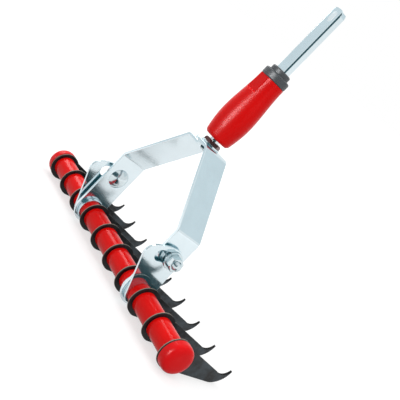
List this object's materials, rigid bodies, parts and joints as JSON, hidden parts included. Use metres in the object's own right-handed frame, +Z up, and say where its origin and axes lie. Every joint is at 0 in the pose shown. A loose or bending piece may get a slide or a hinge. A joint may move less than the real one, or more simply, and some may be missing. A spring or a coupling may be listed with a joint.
{
  "type": "thatch rake",
  "caption": "Thatch rake head: a row of hooked blades on a tube that swings between stops in a bent yoke, under a socket with a flat tongue for a plug-on handle.",
  "frame": {"origin": "on the floor under the blades, in the middle of the part's box", "axes": "+X along the tube, +Y the way the hooks reach, +Z up; the handle leans to +Y, against its stop"},
  "size_m": [0.322, 0.0956, 0.3139],
  "materials": {
    "tube_red": "gloss",
    "cap_red": "gloss",
    "blade_black": "satin",
    "zinc_plate": "bright zinc",
    "zinc_strip": "bright zinc",
    "zinc_fastener": "bright zinc",
    "dark_fastener": "blackened",
    "socket_red": "gloss",
    "collar_grey": "satin"
  },
  "bodies": {
    "head": {"tube": "tube_red", "end_cap_left": "cap_red", "end_cap_right": "cap_red", "hook_blade_1": "blade_black", "hook_blade_2": "blade_black", "hook_blade_3": "blade_black", "hook_blade_4": "blade_black", "hook_blade_5": "blade_black", "hook_blade_6": "blade_black", "hook_blade_7": "blade_black", "hook_blade_8": "blade_black", "hook_blade_9": "blade_black", "hook_blade_10": "blade_black", "sector_plate_left": "zinc_plate", "sector_plate_right": "zinc_plate", "bearing_collar_left": "zinc_plate", "bearing_collar_right": "zinc_plate"},
    "yoke": {"arm_left": "zinc_strip", "arm_right": "zinc_strip", "stop_bolt_left": "zinc_fastener", "stop_bolt_right": "zinc_fastener", "slot_sleeve_left": "zinc_fastener", "slot_sleeve_right": "zinc_fastener", "bolt_washer_left": "zinc_fastener", "bolt_washer_right": "zinc_fastener", "bolt_nut_left": "zinc_fastener", "bolt_nut_right": "zinc_fastener", "hub_bolt": "zinc_fastener", "hub_washer": "zinc_fastener", "hub_nut": "dark_fastener", "socket": "socket_red", "socket_collar": "collar_grey", "shoulder_cap": "collar_grey", "tongue": "zinc_strip"}
  },
  "joints": [
    {"name": "yoke_swing", "type": "hinge", "parent": "head", "child": "yoke", "pos_m": [0, -0.02251, 0.0158], "axis": [1, 0, 0], "range_deg": [0, 19]}
  ]
}
